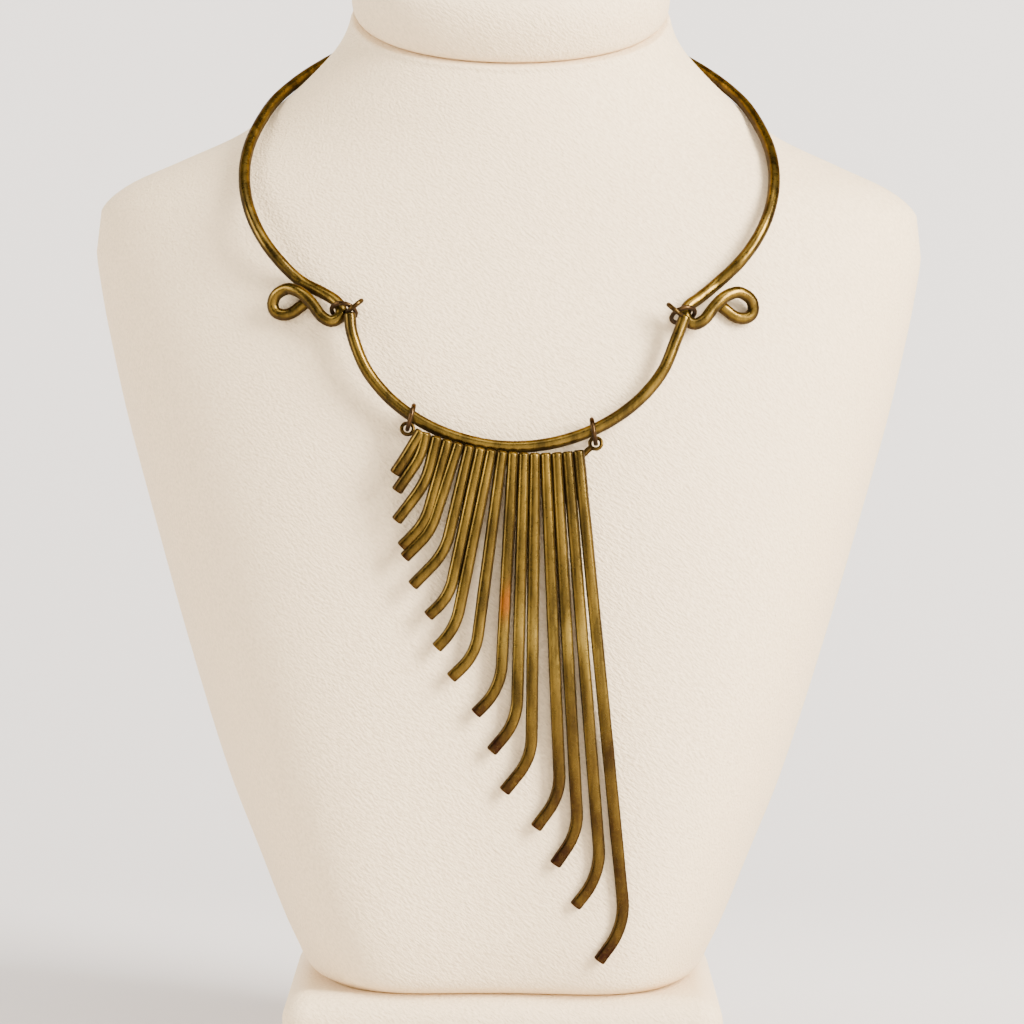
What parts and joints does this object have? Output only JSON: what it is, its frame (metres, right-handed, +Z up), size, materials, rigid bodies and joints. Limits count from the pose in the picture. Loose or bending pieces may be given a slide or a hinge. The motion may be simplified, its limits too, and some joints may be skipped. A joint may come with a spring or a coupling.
{
  "type": "bib necklace on a neck bust",
  "caption": "Wire collar with hooked ends and a front arc that carries a bib of stepped rods on jump rings, on a padded neck bust.",
  "frame": {"origin": "centre of the base block's underside, which rests on the table", "axes": "+Z up, -Y towards the front of the bust and the bib, +X towards the viewer's right"},
  "size_m": [0.22, 0.1076, 0.3107],
  "materials": {
    "neck_brass": "antiqued",
    "arc_brass": "antiqued",
    "bib_brass": "antiqued, hammered",
    "hook_ring_left_bronze": "dark antiqued",
    "hook_ring_right_bronze": "dark antiqued",
    "bib_ring_left_bronze": "dark antiqued",
    "bib_ring_right_bronze": "dark antiqued",
    "form_leatherette": "matte grained",
    "cap_leatherette": "matte grained",
    "base_leatherette": "matte grained"
  },
  "bodies": {
    "root": {"neck_wire": "neck_brass", "front_arc": "arc_brass", "hook_ring_left": "hook_ring_left_bronze", "hook_ring_right": "hook_ring_right_bronze", "bib_ring_left": "bib_ring_left_bronze", "bib_ring_right": "bib_ring_right_bronze", "bib": "bib_brass", "bust_form": "form_leatherette", "neck_cap": "cap_leatherette", "base_block": "base_leatherette"}
  },
  "joints": []
}
